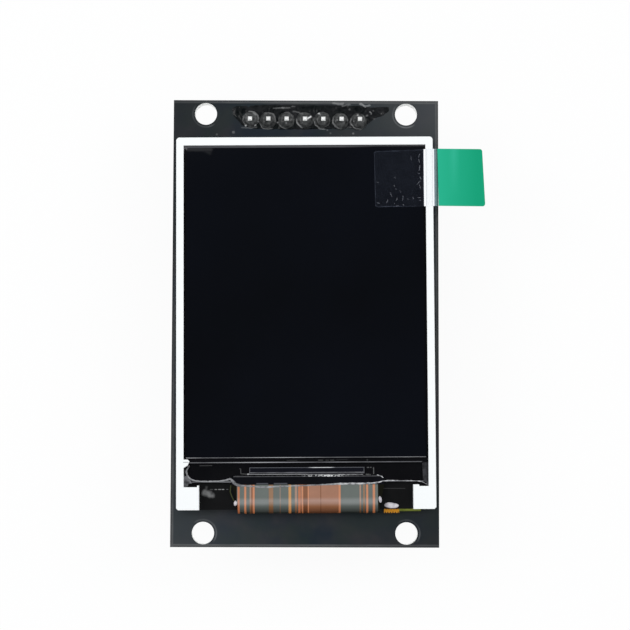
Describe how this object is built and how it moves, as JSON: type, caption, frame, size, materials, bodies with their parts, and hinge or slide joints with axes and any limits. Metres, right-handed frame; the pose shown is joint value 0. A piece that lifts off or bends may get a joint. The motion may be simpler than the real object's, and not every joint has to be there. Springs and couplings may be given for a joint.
{
  "type": "tft display module",
  "caption": "Small colour screen module: glass display in a white light frame, taped to a rectangular board with a header pin row and corner mounting holes.",
  "frame": {"origin": "centre of the four mounting holes on the board's rear face", "axes": "+Y along the board towards the header end, +X to the right seen from the screen's side, +Z out of the screen"},
  "size_m": [0.043, 0.0618, 0.0131],
  "materials": {
    "board": "dark solder mask, satin",
    "header_plastic": "black moulded",
    "pin_metal": "plated",
    "solder": "tinned",
    "foam_tape": "closed foam",
    "frame_plastic": "white moulded",
    "reflector": "silver film",
    "clear_plastic": "clear moulded",
    "light_film": "frosted film",
    "lamp_case": "white case",
    "amber_flex": "amber film",
    "black_tape": "black film",
    "polariser": "near-black film",
    "panel_glass": "dark panel glass",
    "chip": "polished silicon",
    "sealant": "clear coat",
    "copper_flex": "coverlay over copper",
    "clear_film": "clear film",
    "green_film": "green film",
    "chip_resistor": "dark glazed top, tinned ends",
    "chip_capacitor": "tan body, tinned ends",
    "case_plastic": "black moulded case, tinned leads"
  },
  "bodies": {
    "root": {"array_glass": "panel_glass", "backlight_transistor": "case_plastic", "chip_capacitor_1": "chip_capacitor", "chip_capacitor_2": "chip_capacitor", "chip_resistor_1": "chip_resistor", "chip_resistor_2": "chip_resistor", "chip_resistor_3": "chip_resistor", "circuit_board": "board", "colour_filter_glass": "panel_glass", "diffuser_sheet": "light_film", "display_flex": "copper_flex", "driver_chip": "chip", "flex_solder": "solder", "front_polariser": "polariser", "header_pin_1": "pin_metal", "header_pin_2": "pin_metal", "header_pin_3": "pin_metal", "header_pin_4": "pin_metal", "header_pin_5": "pin_metal", "header_pin_6": "pin_metal", "header_pin_7": "pin_metal", "header_strip": "header_plastic", "lamp_1": "lamp_case", "lamp_2": "lamp_case", "lamp_3": "lamp_case", "lamp_4": "lamp_case", "lamp_flex": "amber_flex", "ledge_sealant": "sealant", "light_frame": "frame_plastic", "light_guide": "clear_plastic", "mounting_tape_lower": "foam_tape", "mounting_tape_upper": "foam_tape", "prism_sheet_lower": "light_film", "prism_sheet_upper": "light_film", "protective_film": "clear_film", "pull_tab_film": "clear_film", "pull_tab_handle": "green_film", "rear_polariser": "polariser", "reflector_sheet": "reflector", "rim_tape": "black_tape", "solder_joint_1": "solder", "solder_joint_2": "solder", "solder_joint_3": "solder", "solder_joint_4": "solder", "solder_joint_5": "solder", "solder_joint_6": "solder", "solder_joint_7": "solder", "voltage_regulator": "case_plastic"}
  },
  "joints": []
}
